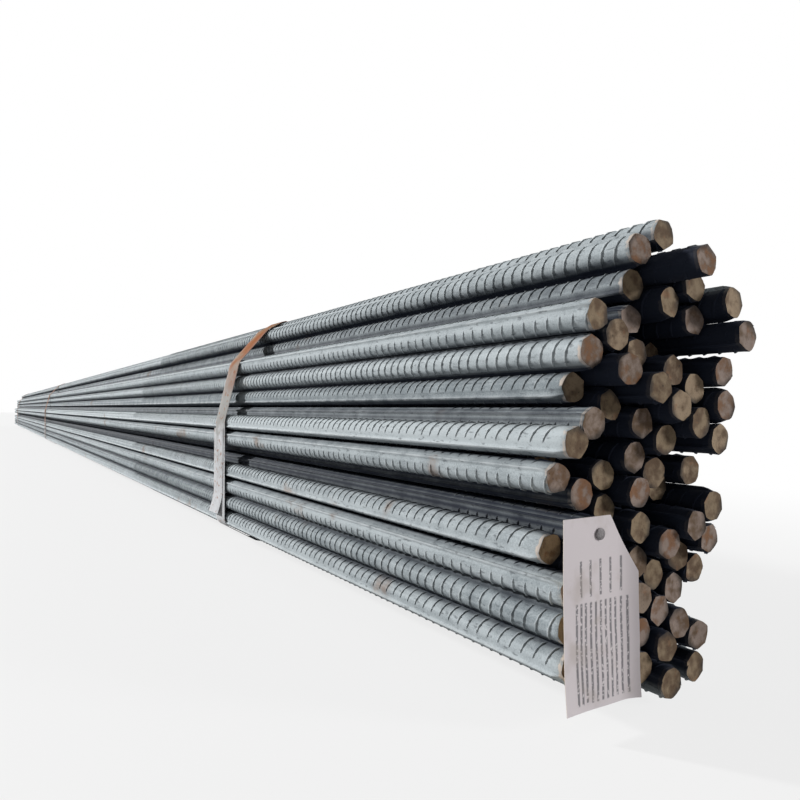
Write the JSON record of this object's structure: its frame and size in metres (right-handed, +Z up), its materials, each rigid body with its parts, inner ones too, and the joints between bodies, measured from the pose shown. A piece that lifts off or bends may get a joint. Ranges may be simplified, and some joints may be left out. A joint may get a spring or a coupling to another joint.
{
  "type": "rebar bundle",
  "caption": "Long bundle of ribbed steel reinforcing bars, held by flat steel straps, with staggered cut ends and a plain tag nailed to one of them.",
  "frame": {"origin": "on the floor under the middle strap, midway along the bundle and midway across it", "axes": "+X along the bars towards the tagged end, +Y across the bundle, +Z up"},
  "size_m": [9.099, 0.1721, 0.3811],
  "materials": {
    "bar_steel": "blue-grey mill scale, browned cut ends",
    "strap_steel": "bare steel band with rust stains",
    "tag_sheet": "matt sheet",
    "nail_steel": "dull"
  },
  "bodies": {
    "root": {"bars_column_1": "bar_steel", "bars_column_2": "bar_steel", "bars_column_3": "bar_steel", "bars_column_4": "bar_steel", "bars_column_5": "bar_steel", "bars_column_6": "bar_steel", "bars_column_7": "bar_steel", "strap_near": "strap_steel", "strap_middle": "strap_steel", "strap_far": "strap_steel", "tag": "tag_sheet", "tag_nail": "nail_steel"}
  },
  "joints": []
}
